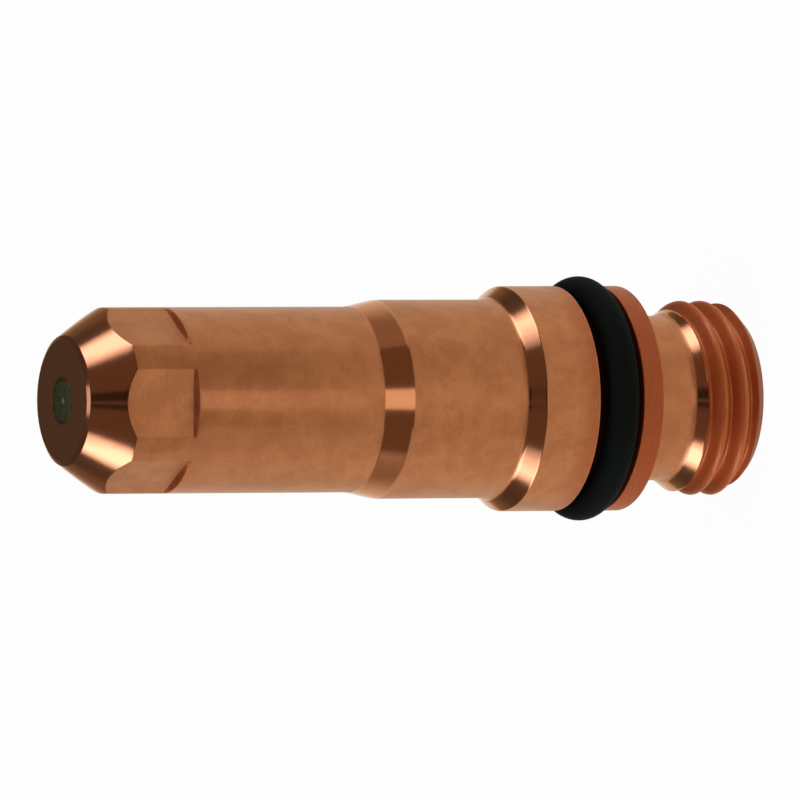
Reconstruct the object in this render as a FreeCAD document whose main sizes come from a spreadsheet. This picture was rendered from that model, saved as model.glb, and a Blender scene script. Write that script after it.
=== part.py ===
import FreeCAD, Part
import os

import Sketcher

# A liquid-cooled plasma torch electrode, standing on its threaded rear end.
# The axis is +Z, the rear face lies on z = 0 and the nose face is at the top.
# Lengths along the body are measured from the nose face unless a note says otherwise.

SIZES = (
    ("nose_dia", 7.2, "flat nose face, to the corner of its cone"),
    ("nose_cone_length", 2.48, "cone between the nose face and the front barrel"),
    ("nose_cone_crown", 0.03, "bulge of the cone beyond a straight one, at its middle"),
    ("nose_edge", 0.15, "broken edge of the nose face"),
    ("front_dia", 10.54, "front barrel"),
    ("front_end", 17.63, "nose face to the first shoulder"),
    ("front_shoulder", 1.7, "length of the first, shallow shoulder"),
    ("front_shoulder_radius", 4.0, "rounding at both ends of the first shoulder"),
    ("middle_dia", 11.3, "middle barrel"),
    ("middle_end", 26.38, "nose face to the second shoulder"),
    ("rear_shoulder", 0.91, "length of the second, steep shoulder"),
    ("rear_shoulder_radius", 0.6, "rounding at the foot of the second shoulder"),
    ("land_dia", 12.82, "lands on both sides of the seal groove"),
    ("land_edge", 0.1, "broken edges of the lands"),
    ("groove_start", 30.64, "nose face to the seal groove"),
    ("groove_width", 2.7, "seal groove, between its walls"),
    ("groove_dia", 10.34, "floor of the seal groove"),
    ("flange_width", 1.26, "land behind the seal groove"),
    ("neck_dia", 9.4, "thread relief"),
    ("neck_length", 2.7, "thread relief, flange to the start of the thread"),
    ("thread_length", 4.4, "end of the relief to the rear face"),
    ("thread_dia", 11.112, "crests of the rear thread, 7/16 inch"),
    ("thread_pitch", 1.27, "20 threads an inch"),
    ("thread_depth", 0.779, "crest to root, measured on the radius"),
    ("thread_flat", 0.159, "flat at the root"),
    ("thread_flank_angle", 30.0, "each flank from the radial plane, degrees"),
    ("thread_lead_slope", 0.7, "rise of the front lead-in cone for each mm of length"),
    ("thread_lead_in", 0.11, "start of the root helix below the rear face, on +X"),
    ("cutter_rise", 0.04, "thread cutter above the crests"),
    ("rear_chamfer", 0.85, "chamfer behind the thread"),
    ("flat_depth", 0.37, "each wrench flat below the front barrel, 9.8 across two of them"),
    ("flats_end", 6.15, "nose face to the rear ends of the wrench flats"),
    ("flats_count", 6, "wrench flats"),
    ("flats_turn", -92.0, "direction of the first flat from +X, degrees"),
    ("bore_dia", 7.0, "coolant bore, open at the rear"),
    ("bore_mouth", 0.3, "chamfer at the mouth of the coolant bore"),
    ("bore_floor", 9.0, "nose face to the floor of the coolant bore"),
    ("ring_pocket_dia", 6.4, "annular pocket around the cooled post"),
    ("ring_pocket_floor", 3.8, "nose face to the floor of the annular pocket"),
    ("post_dia", 4.2, "cooled post that holds the emitter"),
    ("post_edge", 0.6, "chamfer on the end of the post"),
    ("emitter_dia", 2.5, "emitter insert"),
    ("emitter_length", 5.0, "emitter insert, nose face to its inner end"),
    ("emitter_dish", 0.08, "depth of the dish in the emitter's face"),
    ("seal_section", 1.78, "section of the seal ring"),
    ("seal_seat_gap", 0.02, "seal ring above the floor of its groove"),
    ("seal_offset", 0.23, "seal ring behind the middle of its groove"),
)

GROOVE_END = "(sizes.groove_start + sizes.groove_width)"
FLANGE_END = f"({GROOVE_END} + sizes.flange_width)"
NOSE = f"({FLANGE_END} + sizes.neck_length + sizes.thread_length)"
LEAD_LENGTH = "((sizes.thread_dia - sizes.neck_dia) / 2 / sizes.thread_lead_slope)"

# The share of the first shoulder that each of its two roundings may take up.
ROUND_SHARE = 0.45

# Two edges closer than this, in mm, are the same edge.
SAME_PLACE = 1e-4


def from_nose(distance):
    """Height of a place given by its distance behind the nose face."""
    return f"{NOSE} - {distance}"


def make_sheet(doc):
    sheet = doc.addObject("Spreadsheet::Sheet", "sizes")
    for row, (alias, value, note) in enumerate(SIZES, 1):
        sheet.set(f"A{row}", str(value))
        sheet.setAlias(f"A{row}", alias)
        sheet.set(f"B{row}", note)
    doc.recompute()
    return sheet


def origin_plane(body, role):
    return next(item for item in body.Origin.OriginFeatures if item.Role == role)


def pin_point(sketch, line, expressions):
    """Ties the start of a line to a radius and a height, both expressions of the sheet."""
    axes = (("DistanceX", -2, expressions[0]), ("DistanceY", -1, expressions[1]))
    for kind, axis, expression in axes:
        if expression == "0":
            sketch.addConstraint(Sketcher.Constraint("PointOnObject", line, 1, axis))
            continue
        size = evaluate(sketch, expression)
        index = sketch.addConstraint(Sketcher.Constraint(kind, -1, 1, line, 1, size))
        name = f"{kind.lower()}_{line}"
        sketch.renameConstraint(index, name)
        sketch.setExpression(f"Constraints.{name}", expression)


def evaluate(owner, expression):
    return float(owner.evalExpression(expression))


def half_section(body, name, corners, crowns=()):
    """A closed outline in the XZ plane, each corner tied to the sheet.

    Each crown gives the number of a side that bulges out, and by how much.
    """
    sketch = body.newObject("Sketcher::SketchObject", name)
    sketch.AttachmentSupport = (origin_plane(body, "XZ_Plane"), [""])
    sketch.MapMode = "FlatFace"
    places = []
    for radius, height in corners:
        places.append(FreeCAD.Vector(evaluate(sketch, radius), evaluate(sketch, height), 0))
    count = len(places)
    bulges = dict(crowns)
    for index, place in enumerate(places):
        following = places[(index + 1) % count]
        side = Part.LineSegment(place, following)
        if index in bulges:
            along = following - place
            outward = FreeCAD.Vector(along.y, -along.x, 0).normalize()
            top = (place + following) / 2 + outward * evaluate(sketch, bulges[index])
            side = Part.Arc(place, top, following)
        sketch.addGeometry(side, False)
    for index in range(count):
        following = (index + 1) % count
        sketch.addConstraint(Sketcher.Constraint("Coincident", index, 2, following, 1))
    for index, corner in enumerate(corners):
        pin_point(sketch, index, corner)
    for index, bulge in bulges.items():
        (from_radius, from_height), (to_radius, to_height) = corners[index], corners[index + 1]
        chord = f"hypot({to_radius} - {from_radius}; {to_height} - ({from_height}))"
        radius = f"{chord} ^ 2 / {bulge} / 8 + {bulge} / 2"
        number = sketch.addConstraint(Sketcher.Constraint("Radius", index, evaluate(sketch, radius)))
        sketch.renameConstraint(number, f"crown_{index}")
        sketch.setExpression(f"Constraints.crown_{index}", radius)
    return sketch


def turn(body, kind, name, sketch):
    """A full revolution of a half section about the axis of the part."""
    feature = body.newObject(f"PartDesign::{kind}", name)
    feature.Profile = sketch
    feature.ReferenceAxis = (sketch, ["V_Axis"])
    feature.Angle = 360
    body.Document.recompute()
    return feature


def circles(feature, radius, height):
    """Names of the circular edges of one radius at one height, both expressions."""
    wanted_radius = evaluate(feature, radius)
    wanted_height = evaluate(feature, height)
    names = []
    for index, edge in enumerate(feature.Shape.Edges, 1):
        if not isinstance(edge.Curve, Part.Circle):
            continue
        off_radius = abs(edge.Curve.Radius - wanted_radius)
        off_height = abs(edge.Curve.Center.z - wanted_height)
        if max(off_radius, off_height) < SAME_PLACE:
            names.append(f"Edge{index}")
    if not names:
        raise RuntimeError(f"{feature.Label} has no edge at radius {radius}, height {height}")
    return names


def dress(body, kind, name, size, places):
    """A fillet or chamfer on the circular edges at some places of the body's last feature."""
    base = body.Tip
    edges = []
    for radius, height in places:
        edges += circles(base, radius, height)
    feature = body.newObject(f"PartDesign::{kind}", name)
    feature.Base = (base, edges)
    feature.setExpression("Radius" if kind == "Fillet" else "Size", size)
    body.Document.recompute()
    return feature


def turned_blank(body):
    """Nose cone, three barrels, seal groove, flange, relief and the bar for the thread."""
    front, middle = "sizes.front_dia / 2", "sizes.middle_dia / 2"
    land, neck, crest = "sizes.land_dia / 2", "sizes.neck_dia / 2", "sizes.thread_dia / 2"
    groove = "sizes.groove_dia / 2"
    corners = (
        ("0", "0"),
        (f"{crest} - sizes.rear_chamfer", "0"),
        (crest, "sizes.rear_chamfer"),
        (crest, f"sizes.thread_length - {LEAD_LENGTH}"),
        (neck, "sizes.thread_length"),
        (neck, from_nose(FLANGE_END)),
        (land, from_nose(FLANGE_END)),
        (land, from_nose(GROOVE_END)),
        (groove, from_nose(GROOVE_END)),
        (groove, from_nose("sizes.groove_start")),
        (land, from_nose("sizes.groove_start")),
        (land, from_nose("(sizes.middle_end + sizes.rear_shoulder)")),
        (middle, from_nose("sizes.middle_end")),
        (middle, from_nose("(sizes.front_end + sizes.front_shoulder)")),
        (front, from_nose("sizes.front_end")),
        (front, from_nose("sizes.nose_cone_length")),
        ("sizes.nose_dia / 2", NOSE),
        ("0", NOSE),
    )
    nose_cone = corners.index(("sizes.nose_dia / 2", NOSE)) - 1
    crowns = [(nose_cone, "sizes.nose_cone_crown")]
    outline = half_section(body, "blank_outline", corners, crowns)
    turn(body, "Revolution", "turned_blank", outline)
    dress(body, "Chamfer", "nose_edge", "sizes.nose_edge", [("sizes.nose_dia / 2", NOSE)])
    front_ends = [
        (front, from_nose("sizes.front_end")),
        (middle, from_nose("(sizes.front_end + sizes.front_shoulder)")),
    ]
    lean = f"abs(atan(({middle} - {front}) / sizes.front_shoulder))"
    room = f"sizes.front_shoulder * {ROUND_SHARE} / tan({lean} / 2)"
    round_radius = f"min(sizes.front_shoulder_radius; {room})"
    dress(body, "Fillet", "front_shoulder_rounds", round_radius, front_ends)
    foot = [(middle, from_nose("sizes.middle_end"))]
    dress(body, "Fillet", "rear_shoulder_round", "sizes.rear_shoulder_radius", foot)
    land_edges = [
        (land, from_nose("sizes.groove_start")),
        (land, from_nose(GROOVE_END)),
        (land, from_nose(FLANGE_END)),
    ]
    dress(body, "Chamfer", "land_edges", "sizes.land_edge", land_edges)


def coolant_cavity(body):
    """Rear bore, and the annular pocket that leaves the cooled post standing."""
    bore, pocket, post = "sizes.bore_dia / 2", "sizes.ring_pocket_dia / 2", "sizes.post_dia / 2"
    floor = from_nose("sizes.bore_floor")
    pocket_floor = from_nose("sizes.ring_pocket_floor")
    corners = (
        ("0", "0"),
        (f"{bore} + sizes.bore_mouth", "0"),
        (bore, "sizes.bore_mouth"),
        (bore, floor),
        (pocket, floor),
        (pocket, pocket_floor),
        (post, pocket_floor),
        (post, f"{floor} + sizes.post_edge"),
        (f"{post} - sizes.post_edge", floor),
        ("0", floor),
    )
    turn(body, "Groove", "coolant_cavity", half_section(body, "cavity_outline", corners))


def emitter_socket(body):
    """Blind hole in the nose that the emitter is pressed into."""
    socket_floor = from_nose("sizes.emitter_length")
    corners = (
        ("0", socket_floor),
        ("sizes.emitter_dia / 2", socket_floor),
        ("sizes.emitter_dia / 2", NOSE),
        ("0", NOSE),
    )
    turn(body, "Groove", "emitter_socket", half_section(body, "socket_outline", corners))


def wrench_flats(body):
    """One flat milled from the nose, then repeated round the axis."""
    reach = "sizes.front_dia"
    floor = "(sizes.front_dia / 2 - sizes.flat_depth)"
    corners = (
        (floor, from_nose("sizes.flats_end")),
        (reach, from_nose("sizes.flats_end")),
        (reach, f"{NOSE} + 1"),
        (floor, f"{NOSE} + 1"),
    )
    sketch = half_section(body, "flat_outline", corners)
    about_axis = FreeCAD.Rotation(FreeCAD.Vector(0, 1, 0), evaluate(sketch, "sizes.flats_turn"))
    sketch.AttachmentOffset = FreeCAD.Placement(FreeCAD.Vector(0, 0, 0), about_axis)
    sketch.setExpression("AttachmentOffset.Rotation.Angle", "sizes.flats_turn")
    flat = body.newObject("PartDesign::Pocket", "wrench_flat")
    flat.Profile = sketch
    flat.SideType = "Symmetric"
    flat.setExpression("Length", reach)
    body.Document.recompute()
    pattern = body.newObject("PartDesign::PolarPattern", "wrench_flats")
    pattern.Originals = [flat]
    pattern.Axis = (origin_plane(body, "Z_Axis"), [""])
    pattern.Angle = 360
    pattern.setExpression("Occurrences", "sizes.flats_count")
    body.Tip = pattern
    body.Document.recompute()


def rear_thread(body):
    """Right-hand thread: a V with a flat root, swept along a helix."""
    root = "(sizes.thread_dia / 2 - sizes.thread_depth)"
    mouth = "(sizes.thread_dia / 2 + sizes.cutter_rise)"
    half_flat = "(sizes.thread_flat / 2)"
    flank = "(sizes.thread_depth + sizes.cutter_rise) * tan(sizes.thread_flank_angle * 1 deg)"
    half_mouth = f"({half_flat} + {flank})"
    start = "(-sizes.thread_lead_in)"
    corners = (
        (root, f"{start} - {half_flat}"),
        (mouth, f"{start} - {half_mouth}"),
        (mouth, f"{start} + {half_mouth}"),
        (root, f"{start} + {half_flat}"),
    )
    sketch = half_section(body, "thread_outline", corners)
    thread = body.newObject("PartDesign::SubtractiveHelix", "rear_thread")
    thread.Profile = sketch
    thread.ReferenceAxis = (sketch, ["V_Axis"])
    thread.Mode = "pitch-height-angle"
    thread.LeftHanded = False
    thread.setExpression("Pitch", "sizes.thread_pitch")
    thread.setExpression("Height", f"sizes.thread_length + sizes.thread_lead_in + sizes.thread_pitch / 4")
    body.Document.recompute()


def make_electrode_body(doc):
    body = doc.addObject("PartDesign::Body", "electrode_body")
    for build in (turned_blank, coolant_cavity, emitter_socket, wrench_flats, rear_thread):
        before = body.Shape.Volume if body.Tip else None
        build(body)
        if before is not None and body.Shape.Volume > before - 0.5:
            raise RuntimeError(f"{build.__name__} removed no metal")
    return body


def make_emitter_insert(doc):
    """Plain slug with a shallow dish worn into its face."""
    slug = doc.addObject("Part::Cylinder", "emitter_slug")
    slug.setExpression("Radius", "sizes.emitter_dia / 2")
    slug.setExpression("Height", "sizes.emitter_length")
    slug.setExpression("Placement.Base.z", from_nose("sizes.emitter_length"))
    dish = doc.addObject("Part::Sphere", "emitter_dish")
    rise = "(sizes.emitter_dish / 2 + sizes.emitter_dia ^ 2 / sizes.emitter_dish / 8)"
    dish.setExpression("Radius", rise)
    dish.setExpression("Placement.Base.z", f"{NOSE} - sizes.emitter_dish + {rise}")
    insert = doc.addObject("Part::Cut", "emitter_insert")
    insert.Base = slug
    insert.Tool = dish
    return insert


def make_o_ring(doc):
    """Seal ring, stretched onto the floor of its groove."""
    ring = doc.addObject("Part::Torus", "o_ring")
    ring.setExpression("Radius2", "sizes.seal_section / 2")
    ring.setExpression("Radius1", "sizes.groove_dia / 2 + sizes.seal_seat_gap + sizes.seal_section / 2")
    middle = from_nose("(sizes.groove_start + sizes.groove_width / 2 + sizes.seal_offset)")
    ring.setExpression("Placement.Base.z", middle)
    return ring


def write_parts(doc, parts):
    doc.recompute()
    for item in doc.Objects:
        if {"Invalid", "Error"} & set(item.State):
            raise RuntimeError(f"{item.Label} failed: {item.State}")
    for part in parts:
        if part.Shape.isNull() or not part.Shape.isValid():
            raise RuntimeError(f"{part.Label} has no valid shape")
    os.makedirs("parts", exist_ok=True)
    for part in parts:
        part.Shape.exportStep(f"parts/{part.Label}.step")
        print(part.Label, round(part.Shape.Volume, 3), "mm3", len(part.Shape.Solids), "solid")


def main():
    doc = FreeCAD.newDocument("plasma_torch_electrode")
    make_sheet(doc)
    write_parts(doc, (make_electrode_body(doc), make_emitter_insert(doc), make_o_ring(doc)))


main()
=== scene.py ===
import math

import bmesh
import bpy
import numpy as np
from mathutils import Matrix, Vector


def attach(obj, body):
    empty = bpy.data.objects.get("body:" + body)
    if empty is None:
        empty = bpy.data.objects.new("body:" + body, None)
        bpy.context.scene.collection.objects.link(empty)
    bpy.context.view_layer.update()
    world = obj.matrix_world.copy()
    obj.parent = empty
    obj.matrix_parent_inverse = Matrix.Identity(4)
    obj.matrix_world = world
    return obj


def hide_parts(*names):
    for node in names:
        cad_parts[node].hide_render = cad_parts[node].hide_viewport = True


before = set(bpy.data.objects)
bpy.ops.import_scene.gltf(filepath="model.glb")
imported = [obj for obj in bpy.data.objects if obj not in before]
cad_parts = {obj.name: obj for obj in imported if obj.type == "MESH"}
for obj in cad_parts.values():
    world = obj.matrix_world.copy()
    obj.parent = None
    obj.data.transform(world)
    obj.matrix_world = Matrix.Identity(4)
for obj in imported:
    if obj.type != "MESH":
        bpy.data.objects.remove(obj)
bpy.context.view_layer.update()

# Sizes of the electrode in millimetres. Its axis is +Z and the rear face lies on z = 0.
# Lengths along the body are measured from the nose face.
MM = 0.001
LENGTH = 41.7
NOSE_R, NOSE_EDGE, CONE_END, CONE_CROWN = 3.6, 0.15, 2.48, 0.03
FRONT_R, FRONT_END = 5.27, 17.63
MIDDLE_R, MIDDLE_START, MIDDLE_END, SHOULDER_ROUND = 5.65, 19.33, 26.38, 0.6
LAND_R, LAND_START = 6.41, 27.29
GROOVE_R, GROOVE_START, GROOVE_END = 5.17, 30.64, 33.34
FLANGE_END, NECK_R, NECK_CORNER = 34.6, 4.7, 0.35
THREAD_START, THREAD_R, PITCH, THREAD_DEPTH = 37.3, 5.556, 1.27, 0.73
THREAD_FLAT, THREAD_FLANK, ROOT_START, REAR_CHAMFER = 0.159, 30.0, -0.11, 0.85
LEAD_SLOPE, LEAD_ROUND, CREST_ROUND, ROOT_ROUND = 0.7, 0.2, 0.3, 0.15
FLAT_R, FLATS_END, FLATS, FLATS_TURN, WALL_LEAN = 4.9, 6.15, 6, -92.0, 0.18
BORE_R, BORE_MOUTH, BORE_FLOOR = 3.5, 0.3, 9.0
POCKET_R, POCKET_FLOOR, POST_R, POST_EDGE = 3.2, 3.8, 2.1, 0.6
EMITTER_R, EMITTER_LENGTH, EMITTER_DISH, EMITTER_GAP = 1.25, 5.0, 0.08, 0.01
NUB_R, NUB_HEIGHT = 0.17, 0.03
SEAL_R, SEAL_RING_R, SEAL_MIDDLE = 0.89, 6.08, 32.22

# Finishes of the copper: how polished it is, how raw and red it is, and how bright.
SATIN = (0.0, 0.0, 1.0)
BURNISHED = (0.20, 0.0, 1.0)
POLISHED = (1.0, 0.0, 1.0)
NECK = (0.14, 0.1, 1.0)
TURNED = (0.05, 0.95, 1.0)
REDDENED = (0.0, 0.5, 1.0)
# The flats' end walls are redder milled copper, and their darker tone (0.85) is painted shade.
MILLED = (0.0, 0.7, 0.85)
# Painted light: the thread's copper is 15 % brighter than elsewhere, to make up for light that its flanks
# miss.
THREADED = (0.05, 0.78, 1.15)
REAR_CUT = (0.0, 0.85, 0.75)
NOSE_FACE = (1.0, 0.0, 0.78)
SCORCHED = (1.0, 0.0, 0.62)
# Painted shade in recesses: the groove's rear wall is darkened to tone 0.5, and the groove's floor and front
# wall and the emitter's socket to tone 0.1, standing in for the shade there.
PAINTED_GROOVE_SHADE = (0.0, 1.0, 0.5)
PAINTED_RECESS_SHADE = (0.0, 1.0, 0.1)

# Camera and light, in millimetres and degrees. A radiance of 1 renders as white.
CAMERA_TILT, CAMERA_ROLL, CAMERA_AIM_Z = 24.875, 0.274, 20.7
CAMERA_DISTANCE, CAMERA_LENS = 1197.4, 948.4
CAMERA_OFFSET = (0.021, -0.045)

HORIZON, BACK_HORIZON, CEILING = (0.55, 0.47, 0.40), (0.30, 0.25, 0.20), (0.22, 0.16, 0.13)
BACK_CEILING = (0.155, 0.135, 0.13)
DARK_CARD, CAMERA_DARK, CAMERA_GAP = (0.26, 0.18, 0.13), (0.05, 0.04, 0.035), (0.9, 0.9, 0.9)
CEILING_FROM, CEILING_FULL = 1, 13
# The floor is white near the electrode and brownish far out, as painted shade for light that falls off with
# distance.
FLOOR_OWN_WHITE, FLOOR_WHITE, FLOOR_FAR_SHADE = 0.97, (0.80, 0.80, 0.80), (0.46, 0.37, 0.29)
FLOOR_FAR_FROM, FLOOR_FAR_FULL, FLOOR_OVAL, FLOOR_R = 0.12, 0.26, 1.65, 0.5
SOFTBOX_EDGE, SOFTBOX_STEP, SOFTBOX_TINT = 0.5, 0.02, (1.0, 1.12, 1.42)

# Colours and roughness of the copper, the emitter and the seal.
SATIN_DARK, SATIN_LIGHT = (0.403, 0.144, 0.048), (0.474, 0.180, 0.063)
SATIN_STAIN, POLISHED_TONE, RAW_RED = (0.26, 0.08, 0.028), (0.41, 0.150, 0.055), (0.37, 0.074, 0.014)
SATIN_ROUGHNESS, SMOOTH_ROUGHNESS, RAW_ROUGHER = 0.5, 0.14, 0.22
# The emitter's pits vary its colour; its pale tone, at the centre, is a painted glint.
EMITTER_DARK, EMITTER_LIGHT, PAINTED_GLINT_TONE = (0.088, 0.104, 0.036), (0.130, 0.138, 0.056), (0.40, 0.43, 0.32)
RUBBER_DARK, RUBBER_LIGHT = (0.0050, 0.0066, 0.0046), (0.0070, 0.0088, 0.0062)

# Spacing of the electrode's mesh: columns on each flat and between two flats, rows on each
# thread, and how far from a rounding the extra rows lie that keep flat stretches even.
FLAT_COLUMNS, ROUND_COLUMNS, THREAD_ROWS, SUPPORT = 23, 12, 24, 0.05

# Width over which two surfaces blend, and over which one finish changes to another.
EDGE_BLEND, FINISH_BLEND = 0.02, 0.03


def soft_min(a, b, blend):
    near = np.maximum(blend - np.abs(a - b), 0.0) / blend
    return np.minimum(a, b) - near * near * blend / 4


def soft_max(a, b, blend):
    return -soft_min(-a, -b, blend)


def body_columns():
    """Angles round the axis, close together at the edges of the wrench flats."""
    sector = 360 / FLATS
    half = math.degrees(math.acos(FLAT_R / FRONT_R))
    edge = np.array([-0.6, -0.25, 0.0, 0.25, 0.6])
    angles = []
    for flat in range(FLATS):
        middle = FLATS_TURN + sector * flat
        inner = np.linspace(-half + 0.6, half - 0.6, FLAT_COLUMNS)[1:-1]
        outer = np.linspace(half + 0.6, sector - half - 0.6, ROUND_COLUMNS)[1:-1]
        angles += [middle - half + edge, middle + inner, middle + half + edge, middle + outer]
    return np.radians(np.sort(np.mod(np.concatenate(angles), 360.0)))


def bend(first, corner, last, steps):
    """Points along a smooth curve from first to last that a corner pulls on."""
    points = []
    for t in np.linspace(0, 1, steps + 1):
        points.append(tuple(
            (1 - t) ** 2 * a + 2 * t * (1 - t) * b + t * t * c
            for a, b, c in zip(first, corner, last)
        ))
    return points


def outline(corners, steps=4, longest=0.5):
    """Rows (distance from the nose, radius, finish) along a turned outline.

    Each corner is (distance, radius, rounding, finish of the stretch that follows).
    """
    rows = [(*corners[0][:2], corners[0][3])]
    for before, corner, after in zip(corners[:-2], corners[1:-1], corners[2:]):
        here = np.array(corner[:2])
        into = here - np.array(before[:2])
        out = np.array(after[:2]) - here
        into, out = into / np.hypot(*into), out / np.hypot(*out)
        turn = math.acos(max(-1.0, min(1.0, float(into @ out))))
        reach = corner[2] * math.tan(turn / 2)
        points = bend(here - into * reach, here, here + out * reach, steps) if reach else [here]
        if reach:
            points = [here - into * (reach + SUPPORT), *points, here + out * (reach + SUPPORT)]
        for number, point in enumerate(points):
            finish = before[3] if number < len(points) / 2 else corner[3]
            rows.append((*point, finish))
    rows.append((*corners[-1][:2], corners[-2][3]))
    dense = []
    for first, second in zip(rows[:-1], rows[1:]):
        count = max(1, math.ceil(math.hypot(second[0] - first[0], second[1] - first[1]) / longest))
        for share in np.arange(count) / count:
            dense.append((
                first[0] + (second[0] - first[0]) * share,
                first[1] + (second[1] - first[1]) * share,
                first[2] if share < 0.5 else second[2],
            ))
    return [*dense, rows[-1]]


def nose_rows(columns):
    """The emitter's socket, the nose face, the crowned cone and the wrench flats."""
    sector = math.radians(360 / FLATS)
    off = np.mod(columns - math.radians(FLATS_TURN) + sector / 2, sector) - sector / 2
    flat = soft_min(np.full(len(columns), FRONT_R), FLAT_R / np.cos(off), EDGE_BLEND)
    rows = outline([
        # painted shade: the emitter's socket is darkened for the shade in its narrow gap
        (EMITTER_LENGTH, 0.0, 0, PAINTED_RECESS_SHADE),
        (EMITTER_LENGTH, EMITTER_R, 0, PAINTED_RECESS_SHADE),
        (0.0, EMITTER_R, 0.03, SCORCHED),
        (0.0, EMITTER_R + 0.05, 0, NOSE_FACE),
        (0.0, EMITTER_R + 0.25, 0, NOSE_FACE),
        (0.0, NOSE_R - NOSE_EDGE - SUPPORT, 0, NOSE_FACE),
        (0.0, NOSE_R - NOSE_EDGE, 0, NOSE_FACE),
    ], steps=3, longest=1.5)
    # the cone as distances and radii for shares of its length, with its crown
    share = np.linspace(0, 1, 501)
    slope = np.array([CONE_END, FRONT_R - NOSE_R])
    out = np.array([-slope[1], slope[0]]) / np.hypot(*slope)
    crown = CONE_CROWN * 4 * share * (1 - share)
    cone_x = slope[0] * share + out[0] * crown
    cone_r = NOSE_R + slope[1] * share + out[1] * crown
    # the edge of the nose face is broken by a small chamfer
    edge = NOSE_EDGE / np.hypot(*slope)
    below = (np.interp(edge, share, cone_x), np.interp(edge, share, cone_r))
    for part in (0.03, 0.1, 0.25, 0.5, 0.75, 0.9, 0.97):
        rows.append((below[0] * part, NOSE_R - NOSE_EDGE + (below[1] - NOSE_R + NOSE_EDGE) * part, NOSE_FACE))
    # each column leaves the cone where it meets its flat or the front barrel
    leave = np.interp(flat, cone_r, share)
    for part in (0.0, 0.02, *np.linspace(0, 1, 11)[1:]):
        at = edge + (leave - edge - 0.02) * part
        rows.append((np.interp(at, share, cone_x), np.interp(at, share, cone_r), POLISHED))
    last = rows[-1]
    corner_x = np.interp(leave, share, cone_x)
    corner = bend(last[:2], (corner_x, flat), (corner_x + 0.05, flat), 4)
    rows += [(x, r, finish) for (x, r), finish in zip(corner[1:], (POLISHED, POLISHED, SATIN, SATIN))]
    start = corner_x + 0.05
    for part in np.linspace(0, 1, 11)[1:]:
        rows.append((start + (FLATS_END - WALL_LEAN - 0.03 - start) * part, flat, SATIN))
    # the wall at the rear end of each flat, with its inner and outer corners; its milled copper is darkened
    # as painted shade
    rise = FRONT_R - flat
    on_flat = rise > 0.01
    wall = tuple(np.where(on_flat, milled, satin) for milled, satin in zip(MILLED, SATIN))
    for along, share_up in ((0.0, 0.02), (0.1, 0.09), (0.3, 0.29), (0.6, 0.6), (0.85, 0.87), (1.0, 0.97)):
        rows.append((FLATS_END + WALL_LEAN * (along - 1), flat + rise * share_up, wall))
    rows.append((FLATS_END + 0.04, FRONT_R, SATIN))
    return rows


def fade(rows, start, end, first, last):
    """Lets the finish change evenly from first to last between two distances from the nose."""
    faded = []
    for x, r, finish in rows:
        share = (x - start) / (end - start)
        if 0 <= share <= 1:
            finish = tuple(a + (b - a) * share for a, b in zip(first, last))
        faded.append((x, r, finish))
    return faded


def barrel_rows():
    """Turned outline from behind the wrench flats to the foot of the thread's lead-in cone."""
    rows = outline([
        (FLATS_END + 0.2, FRONT_R, 0, SATIN),
        (FRONT_END, FRONT_R, 1.5, POLISHED),
        (MIDDLE_START, MIDDLE_R, 1.5, SATIN),
        (MIDDLE_END, MIDDLE_R, SHOULDER_ROUND, POLISHED),
        (LAND_START, LAND_R, 0.15, SATIN),
        (GROOVE_START - 1.5, LAND_R, 0, SATIN),
        # painted shade: the groove's walls and floor are darkened for the shade beside the seal
        (GROOVE_START, LAND_R, 0.08, PAINTED_RECESS_SHADE),
        (GROOVE_START, GROOVE_R, 0.12, PAINTED_RECESS_SHADE),
        (GROOVE_END, GROOVE_R, 0.12, PAINTED_GROOVE_SHADE),
        (GROOVE_END, LAND_R, 0.08, TURNED),
        (FLANGE_END, LAND_R, 0.10, TURNED),
        (FLANGE_END, NECK_R, NECK_CORNER, NECK),
        (THREAD_START - LEAD_ROUND, NECK_R, 0, NECK),
    ], longest=0.3)
    rows = fade(rows, FLATS_END, FRONT_END - 0.5, BURNISHED, (BURNISHED[0] / 4, 0.0, 1.0))
    return fade(rows, GROOVE_START - 1.5, GROOVE_START - 0.1, SATIN, REDDENED)


def thread_steps():
    """Places across one thread, in turns."""
    return list(np.linspace(-0.5, 0.5, THREAD_ROWS + 1)[1:])


def thread_rows(columns):
    """Rows that climb with the helix, held between the relief and the rear face."""
    height = LENGTH - THREAD_START + LEAD_ROUND
    turns = range(-2, math.ceil(height / PITCH) + 1)
    starts = sorted((turn + step) * PITCH + ROOT_START for turn in turns for step in thread_steps())
    rise = PITCH * columns / (2 * math.pi)
    rows = []
    for start in reversed(starts):
        z = np.clip(start + rise, 0.0, height)
        from_root = (z - rise - ROOT_START) / PITCH
        from_root = np.abs(from_root - np.round(from_root)) * PITCH
        flank = (from_root - THREAD_FLAT / 2) / math.tan(math.radians(THREAD_FLANK))
        cut = THREAD_R - THREAD_DEPTH + soft_max(flank, 0.0, ROOT_ROUND)
        cut = soft_min(cut, THREAD_R, CREST_ROUND)
        lead = soft_max(LENGTH - THREAD_START - z, 0.0, LEAD_ROUND) * LEAD_SLOPE
        ends = soft_min(NECK_R + lead, THREAD_R - REAR_CHAMFER + z, EDGE_BLEND)
        radius = soft_min(cut, ends, EDGE_BLEND)
        radius = np.where(z >= height, NECK_R, radius)
        radius = np.where(z <= 0, THREAD_R - REAR_CHAMFER, radius)
        red = np.clip((NECK_R + lead - cut) / FINISH_BLEND + 0.5, 0, 1)
        on_cone = np.clip(lead / (LEAD_ROUND * LEAD_SLOPE) * 2 - 1, 0, 1)
        bare = [a + (b - a) * on_cone for a, b in zip(NECK, POLISHED)]
        # the thread's brighter tone is painted light for its flanks
        finish = [a + (b - a) * red for a, b in zip(bare, THREADED)]
        cut_back = np.clip((cut - THREAD_R + REAR_CHAMFER - z) / FINISH_BLEND + 0.5, 0, 1)
        finish = [a + (b - a) * cut_back for a, b in zip(finish, REAR_CUT)]
        rows.append((LENGTH - z, radius, finish))
    return rows


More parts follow.
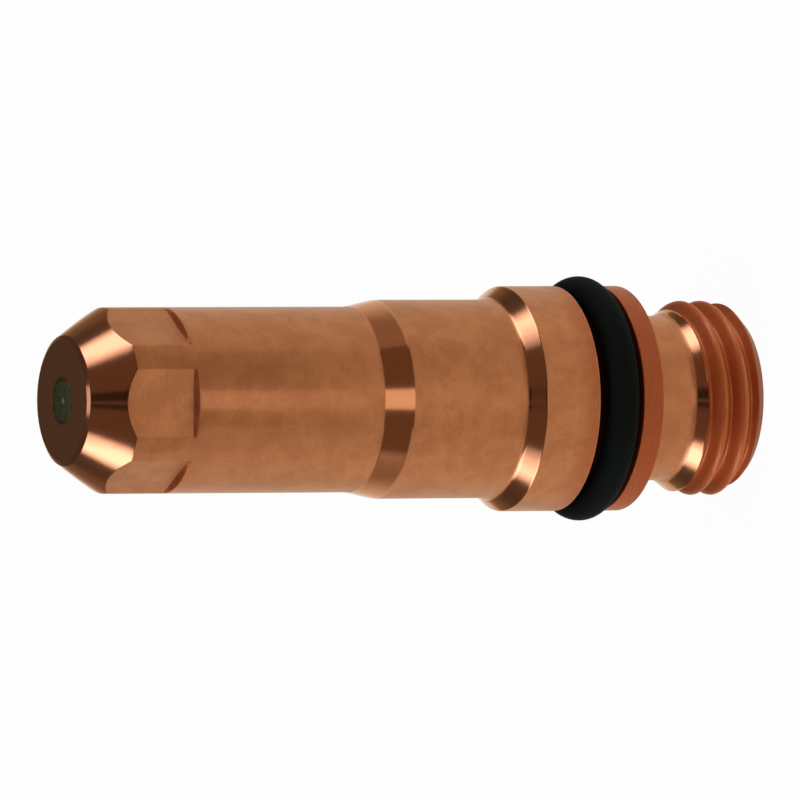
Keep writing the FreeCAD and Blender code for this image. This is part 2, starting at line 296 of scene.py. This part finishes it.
def bore_rows():
    """Rear face, coolant bore, annular pocket and the end of the cooled post."""
    return outline([
        (LENGTH, THREAD_R - REAR_CHAMFER - 0.03, 0, TURNED),
        (LENGTH, BORE_R + BORE_MOUTH, 0.05, TURNED),
        (LENGTH - BORE_MOUTH, BORE_R, 0.05, TURNED),
        (BORE_FLOOR, BORE_R, 0.06, TURNED),
        (BORE_FLOOR, POCKET_R, 0.06, TURNED),
        (POCKET_FLOOR, POCKET_R, 0.3, TURNED),
        (POCKET_FLOOR, POST_R, 0.3, TURNED),
        (BORE_FLOOR - POST_EDGE, POST_R, 0.06, TURNED),
        (BORE_FLOOR, POST_R - POST_EDGE, 0.06, TURNED),
        (BORE_FLOOR, 0.0, 0, TURNED),
    ], steps=3, longest=4.0)


def grid_object(name, columns, rows, laps):
    """A closed skin over rows of points round the axis.

    Where laps gives a number, the last column meets the first one that many rows earlier.
    """
    count = len(columns)
    x = np.array([np.broadcast_to(row[0], count) for row in rows])
    r = np.array([np.broadcast_to(row[1], count) for row in rows])
    points = np.stack([r * np.cos(columns), r * np.sin(columns), LENGTH - x], axis=-1) * MM
    first_lap = next((number for number, lap in enumerate(laps) if lap), 0)

    def corner(row, column):
        if column < count:
            return row * count + column
        return (max(row - laps[row], first_lap) if laps[row] else row) * count

    faces = []
    for row in range(len(rows) - 1):
        for column in range(count):
            faces.append((
                corner(row, column), corner(row + 1, column),
                corner(row + 1, column + 1), corner(row, column + 1),
            ))
    mesh = bpy.data.meshes.new(name)
    mesh.from_pydata(points.reshape(-1, 3).tolist(), [], faces)
    for number, label in enumerate(("polish", "raw", "tone")):
        values = np.array([np.broadcast_to(row[2][number], count) for row in rows], np.float32)
        layer = mesh.attributes.new(label, "FLOAT", "POINT")
        layer.data.foreach_set("value", values.ravel())
    weld(mesh)
    obj = bpy.data.objects.new(name, mesh)
    bpy.context.scene.collection.objects.link(obj)
    even = obj.modifiers.new("even_normals", "WEIGHTED_NORMAL")
    even.keep_sharp = True
    return obj


def weld(mesh, sharp_degrees=40.0):
    """Merges points that coincide, points the faces outward and shades them smooth."""
    bm = bmesh.new()
    bm.from_mesh(mesh)
    bmesh.ops.remove_doubles(bm, verts=bm.verts, dist=0.001 * MM)
    bmesh.ops.dissolve_degenerate(bm, edges=bm.edges, dist=0.0005 * MM)
    bmesh.ops.recalc_face_normals(bm, faces=bm.faces)
    for face in bm.faces:
        face.smooth = True
    for edge in bm.edges:
        edge.smooth = edge.calc_face_angle(0.0) < math.radians(sharp_degrees)
    open_edges = sum(len(edge.link_faces) != 2 for edge in bm.edges)
    triangles = sum(len(face.verts) - 2 for face in bm.faces)
    print(mesh.name, "triangles", triangles, "open edges", open_edges)
    bm.to_mesh(mesh)
    bm.free()


def fit_piece(obj, node, material):
    obj.data.materials.append(material)
    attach(obj, "root")
    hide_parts(node)
    return obj


def make_electrode(material):
    columns = body_columns()
    front = nose_rows(columns) + barrel_rows()
    thread = thread_rows(columns)
    rear = bore_rows()
    lap = len(thread_steps())
    laps = [0] * len(front) + [lap] * len(thread) + [0] * len(rear)
    obj = grid_object("copper_electrode", columns, front + thread + rear, laps)
    return fit_piece(obj, "electrode_body", material)


def make_emitter(material):
    columns = np.linspace(0, 2 * math.pi, 97)[:-1]
    radius = EMITTER_R - EMITTER_GAP
    rows = outline([
        (EMITTER_LENGTH - EMITTER_GAP, 0.0, 0, SATIN),
        (EMITTER_LENGTH - EMITTER_GAP, radius, 0.05, SATIN),
        (0.0, radius, 0.04, SATIN),
        (0.0, radius - 0.06, 0, SATIN),
    ], steps=3, longest=1.5)
    for share in (*np.linspace(1, 0.12, 14)[1:], 0.09, 0.07, 0.05, 0.03, 0.0):
        out = (radius - 0.06) * share
        nub = NUB_HEIGHT * max(0.0, 1 - (out / NUB_R) ** 2)
        rows.append((EMITTER_DISH * (1 - share * share) - nub, out, SATIN))
    obj = grid_object("hafnium_emitter", columns, rows, [0] * len(rows))
    return fit_piece(obj, "emitter_insert", material)


def make_seal(material):
    columns = np.linspace(0, 2 * math.pi, 181)[:-1]
    rows = []
    for turn in np.linspace(0, 2 * math.pi, 49):
        rows.append((SEAL_MIDDLE + SEAL_R * math.sin(turn), SEAL_RING_R + SEAL_R * math.cos(turn), SATIN))
    obj = grid_object("seal_ring", columns, rows, [0] * len(rows))
    return fit_piece(obj, "o_ring", material)


class Nodes:
    """A short way to write the nodes of one material or world."""

    def __init__(self, tree):
        self.tree = tree
        tree.nodes.clear()

    def add(self, kind, inputs=None, **settings):
        node = self.tree.nodes.new(kind)
        for name, value in settings.items():
            setattr(node, name, value)
        for name, value in (inputs or {}).items():
            if isinstance(value, bpy.types.NodeSocket):
                self.tree.links.new(value, node.inputs[name])
            else:
                node.inputs[name].default_value = value
        return node

    def math(self, operation, *values, clamp=False):
        inputs = dict(enumerate(values))
        return self.add("ShaderNodeMath", inputs, operation=operation, use_clamp=clamp).outputs[0]

    def mix_color(self, share, first, second, blend="MIX"):
        node = self.add("ShaderNodeMix", data_type="RGBA", blend_type=blend)
        for index, value in ((0, share), (6, first), (7, second)):
            if isinstance(value, bpy.types.NodeSocket):
                self.tree.links.new(value, node.inputs[index])
            else:
                node.inputs[index].default_value = value if index == 0 else (*value, 1.0)
        return node.outputs[2]

    def range(self, value, from_low, from_high, to_low, to_high):
        inputs = {0: value, 1: from_low, 2: from_high, 3: to_low, 4: to_high}
        return self.add("ShaderNodeMapRange", inputs, interpolation_type="SMOOTHSTEP").outputs[0]

    def noise(self, place, scale, detail=3.0, roughness=0.55):
        inputs = {"Vector": place, "Scale": scale, "Detail": detail, "Roughness": roughness}
        return self.add("ShaderNodeTexNoise", inputs).outputs["Fac"]


def new_material(name):
    material = bpy.data.materials.new(name)
    material.use_nodes = True
    return material, Nodes(material.node_tree)


def make_copper():
    """Satin and polished copper, mixed and coloured by the finish that the mesh carries."""
    material, n = new_material("machined_copper")
    place = n.add("ShaderNodeTexCoord").outputs["Object"]
    polish = n.add("ShaderNodeAttribute", attribute_name="polish").outputs["Fac"]
    raw = n.add("ShaderNodeAttribute", attribute_name="raw").outputs["Fac"]
    tone = n.add("ShaderNodeAttribute", attribute_name="tone").outputs["Fac"]
    drawn = n.add("ShaderNodeVectorMath", {0: place, 1: (1, 1, 5)}, operation="MULTIPLY").outputs[0]
    streaks = n.noise(drawn, 2600.0, 3.0, 0.6)
    blotch = n.noise(place, 700.0, 4.0, 0.6)
    grain = n.noise(place, 5200.0, 2.0, 0.5)
    satin = n.mix_color(n.range(blotch, 0.35, 0.65, 0.0, 1.0), SATIN_DARK, SATIN_LIGHT)
    satin = n.mix_color(n.range(grain, 0.30, 0.45, 0.15, 0.0), satin, SATIN_STAIN)
    red = n.math("MULTIPLY", raw, n.range(streaks, 0.2, 0.8, 0.8, 1.0), clamp=True)
    satin = n.mix_color(red, satin, RAW_RED)
    bright = n.mix_color(red, POLISHED_TONE, RAW_RED)
    # the tone scales the copper's colour; in the groove, the emitter's socket and the flats' end walls it is
    # painted shade, and on the thread painted light
    satin = n.add("ShaderNodeVectorMath", {0: satin, "Scale": tone}, operation="SCALE").outputs[0]
    bright = n.add("ShaderNodeVectorMath", {0: bright, "Scale": tone}, operation="SCALE").outputs[0]
    bump_height = n.math("MULTIPLY", grain, n.math("SUBTRACT", 1.05, polish))
    bump = n.add("ShaderNodeBump", {"Height": bump_height, "Strength": 0.15, "Distance": 0.00003})
    rough = n.range(streaks, 0.3, 0.7, SATIN_ROUGHNESS - 0.04, SATIN_ROUGHNESS + 0.04)
    rough = n.math("MULTIPLY_ADD", raw, RAW_ROUGHER, rough)
    satin_shader = n.add("ShaderNodeBsdfPrincipled", {
        "Base Color": satin, "Metallic": 1.0, "Normal": bump.outputs[0],
        "Roughness": rough,
        "Coat Weight": 0.2, "Coat Roughness": 0.3, "Specular Tint": (1.0, 1.0, 0.82, 1.0),
    })
    polished_shader = n.add("ShaderNodeBsdfPrincipled", {
        "Base Color": bright, "Metallic": 1.0, "Normal": bump.outputs[0],
        "Roughness": n.range(streaks, 0.3, 0.7, SMOOTH_ROUGHNESS - 0.02, SMOOTH_ROUGHNESS + 0.02),
        "Coat Weight": 0.5, "Coat Roughness": 0.15, "Specular Tint": (1.0, 0.75, 0.50, 1.0),
    })
    share = n.math("MULTIPLY", polish, n.range(streaks, 0.25, 0.6, 0.75, 1.0), clamp=True)
    share = n.math("MAXIMUM", share, n.range(polish, 0.6, 0.9, 0.0, 1.0))
    shaders = {0: share, 1: satin_shader.outputs[0], 2: polished_shader.outputs[0]}
    mixed = n.add("ShaderNodeMixShader", shaders).outputs[0]
    n.add("ShaderNodeOutputMaterial", {"Surface": mixed})
    return material


def make_emitter_metal():
    material, n = new_material("burnt_emitter_metal")
    place = n.add("ShaderNodeTexCoord").outputs["Object"]
    pits = n.noise(place, 2600.0, 3.0, 0.6)
    tone = n.mix_color(n.range(pits, 0.35, 0.65, 0.0, 1.0), EMITTER_DARK, EMITTER_LIGHT)
    flat_place = n.add("ShaderNodeVectorMath", {0: place, 1: (1, 1, 0)}, operation="MULTIPLY").outputs[0]
    out = n.add("ShaderNodeVectorMath", {0: flat_place}, operation="LENGTH").outputs["Value"]
    # painted glint: a pale spot over the small nub at the emitter's centre stands in for a reflected
    # highlight
    painted_glint = n.range(out, NUB_R * 0.6 * MM, NUB_R * 1.4 * MM, 1.0, 0.0)
    tone = n.mix_color(painted_glint, tone, PAINTED_GLINT_TONE)
    bump = n.add("ShaderNodeBump", {"Height": pits, "Strength": 0.4, "Distance": 0.00004})
    shader = n.add("ShaderNodeBsdfPrincipled", {
        "Base Color": tone, "Metallic": 1.0, "Roughness": 0.42, "Normal": bump.outputs[0],
    })
    n.add("ShaderNodeOutputMaterial", {"Surface": shader.outputs[0]})
    return material


def make_rubber():
    material, n = new_material("black_seal_rubber")
    place = n.add("ShaderNodeTexCoord").outputs["Object"]
    grain = n.noise(place, 4200.0, 3.0, 0.6)
    tone = n.mix_color(grain, RUBBER_DARK, RUBBER_LIGHT)
    bump = n.add("ShaderNodeBump", {"Height": grain, "Strength": 0.3, "Distance": 0.00002})
    shader = n.add("ShaderNodeBsdfPrincipled", {
        "Base Color": tone, "Roughness": 0.7, "Specular IOR Level": 0.03, "Normal": bump.outputs[0],
    })
    n.add("ShaderNodeOutputMaterial", {"Surface": shader.outputs[0]})
    return material


def make_world():
    """A pale horizon under a dark ceiling, as in a low light tent, and darker behind."""
    world = bpy.data.worlds.new("studio")
    bpy.context.scene.world = world
    world.use_nodes = True
    n = Nodes(world.node_tree)
    direction = n.add("ShaderNodeTexCoord").outputs["Generated"]
    parts = n.add("ShaderNodeSeparateXYZ", {"Vector": direction}).outputs
    low, high = (math.sin(math.radians(angle)) for angle in (CEILING_FROM, CEILING_FULL))
    raised = n.range(parts["Z"], low, high, 0.0, 1.0)
    behind = n.range(parts["Y"], 0.1, 0.6, 0.0, 1.0)
    horizon = n.mix_color(behind, HORIZON, BACK_HORIZON)
    tone = n.mix_color(raised, horizon, n.mix_color(behind, CEILING, BACK_CEILING))
    background = n.add("ShaderNodeBackground", {"Color": tone, "Strength": 1.0})
    n.add("ShaderNodeOutputWorld", {"Surface": background.outputs[0]})


def aim_from(azimuth, elevation, distance):
    """A place round the electrode. Azimuth 0 is the camera's side, and 90 is +X."""
    a, e = math.radians(azimuth), math.radians(elevation)
    away = Vector((math.sin(a) * math.cos(e), -math.cos(a) * math.cos(e), math.sin(e)))
    return Vector((0, 0, CAMERA_AIM_Z * MM)) + away * distance, away


def place_facing(obj, azimuth, elevation, distance):
    """Puts a lamp or a card there, with its -Z side towards the electrode."""
    place, away = aim_from(azimuth, elevation, distance)
    obj.location = place
    obj.rotation_mode = "QUATERNION"
    obj.rotation_quaternion = (-away).to_track_quat("-Z", "Y")


def make_softbox(name, azimuth, elevation, wide, high, radiance, layers=1, distance=0.6):
    """Area lamps given by the angles that they span and by their radiance together.

    With several layers, smaller lamps stand a little before larger ones, so the edges are soft.
    """
    for layer in range(layers):
        share = 1 - SOFTBOX_EDGE * layer / max(layers - 1, 1)
        lamp = bpy.data.lights.new(f"{name}_{layer}", "AREA")
        lamp.shape = "RECTANGLE"
        lamp.color = SOFTBOX_TINT
        away = distance * (1 - SOFTBOX_STEP * layer)
        lamp.size = 2 * away * math.tan(math.radians(wide * share / 2))
        lamp.size_y = 2 * away * math.tan(math.radians(high * share / 2))
        lamp.energy = radiance / layers * math.pi * lamp.size * lamp.size_y
        obj = bpy.data.objects.new(lamp.name, lamp)
        bpy.context.scene.collection.objects.link(obj)
        place_facing(obj, azimuth, elevation, away)


def make_card(name, azimuths, radius, heights, tone):
    """An upright card, bent round the electrode, that only shows in its gloss."""
    bm = bmesh.new()
    rails = []
    for azimuth in np.radians(np.linspace(*azimuths, 13)):
        away = Vector((math.sin(azimuth), -math.cos(azimuth), 0)) * radius
        rails.append([bm.verts.new((away + Vector((0, 0, height))) * MM) for height in heights])
    for left, right in zip(rails[:-1], rails[1:]):
        bm.faces.new((left[0], right[0], right[1], left[1]))
    mesh = bpy.data.meshes.new(name)
    bm.to_mesh(mesh)
    bm.free()
    material, n = new_material(name)
    shader = n.add("ShaderNodeEmission", {"Color": (*tone, 1.0)})
    n.add("ShaderNodeOutputMaterial", {"Surface": shader.outputs[0]})
    mesh.materials.append(material)
    card = bpy.data.objects.new(name, mesh)
    bpy.context.scene.collection.objects.link(card)
    for ray in ("camera", "diffuse", "transmission", "volume_scatter", "shadow"):
        setattr(card, f"visible_{ray}", False)


def make_floor():
    """White near the electrode and brownish far from it, as painted shade for light that falls off far out.
    It glows by itself, so shadows are faint.
    """
    material, n = new_material("pale_floor")
    place = n.add("ShaderNodeTexCoord").outputs["Object"]
    oval = n.add("ShaderNodeVectorMath", {0: place, 1: (FLOOR_OVAL, 1, 1)}, operation="MULTIPLY").outputs[0]
    away = n.add("ShaderNodeVectorMath", {0: oval}, operation="LENGTH").outputs["Value"]
    far = n.range(away, FLOOR_FAR_FROM, FLOOR_FAR_FULL, 0.0, 1.0)
    tone = n.mix_color(far, FLOOR_WHITE, FLOOR_FAR_SHADE)
    diffuse = n.add("ShaderNodeBsdfDiffuse", {"Color": tone}).outputs[0]
    own = n.add("ShaderNodeEmission", {"Color": n.mix_color(far, (1, 1, 1), FLOOR_FAR_SHADE)}).outputs[0]
    path = n.add("ShaderNodeLightPath").outputs
    seen = n.math("MAXIMUM", path["Is Camera Ray"], path["Is Glossy Ray"])
    share = n.math("MULTIPLY", seen, FLOOR_OWN_WHITE)
    mixed = n.add("ShaderNodeMixShader", {0: share, 1: diffuse, 2: own}).outputs[0]
    n.add("ShaderNodeOutputMaterial", {"Surface": mixed})
    bpy.ops.mesh.primitive_circle_add(vertices=96, radius=FLOOR_R, fill_type="NGON")
    floor = bpy.context.object
    floor.name = "floor"
    floor.data.materials.append(material)


def make_camera():
    """The photograph's view: down at the standing electrode, turned so that its nose is left."""
    tilt, roll = math.radians(CAMERA_TILT), math.radians(CAMERA_ROLL)
    back = Vector((0, -math.cos(tilt), math.sin(tilt)))
    level_right, level_up = Vector((0, -math.sin(tilt), -math.cos(tilt))), Vector((1, 0, 0))
    up = level_up * math.cos(roll) + level_right * math.sin(roll)
    right = level_right * math.cos(roll) - level_up * math.sin(roll)
    camera = bpy.data.objects.new("camera", bpy.data.cameras.new("camera"))
    bpy.context.scene.collection.objects.link(camera)
    camera.data.sensor_width = 36
    camera.data.lens = CAMERA_LENS
    camera.data.clip_end = 10
    place = Vector((0, 0, CAMERA_AIM_Z)) + back * CAMERA_DISTANCE
    place += right * CAMERA_OFFSET[0] + up * CAMERA_OFFSET[1]
    turned = Matrix((right, up, back)).transposed().to_4x4()
    camera.matrix_world = Matrix.Translation(place * MM) @ turned
    bpy.context.scene.camera = camera


make_camera()
make_electrode(make_copper())
make_emitter(make_emitter_metal())
make_seal(make_rubber())
make_world()
make_floor()
make_softbox("softbox_right", 88.5, 23, 37, 46, 4.0, layers=4)
make_softbox("softbox_left", -84, 21.5, 35, 48, 4.9, layers=4)
make_softbox("softbox_above", 180, 89.9, 18, 34, 1.8)
make_card("front_light", (-11, 11), 62, (0, 33), (1.75, 1.75, 1.75))
make_card("front_shade_right", (11, 60), 63, (0, 50), DARK_CARD)
make_card("front_shade_left", (-32, -11), 63, (0, 50), DARK_CARD)
make_card("front_shade_far_left", (-60, -32), 63, (12, 50), DARK_CARD)
make_card("camera_shade", (-14, 14), 200, (150, 275), CAMERA_DARK)
make_card("camera_gap", (-4.5, -3.6), 190, (140, 265), CAMERA_GAP)
bpy.context.scene.view_settings.view_transform = "Standard"
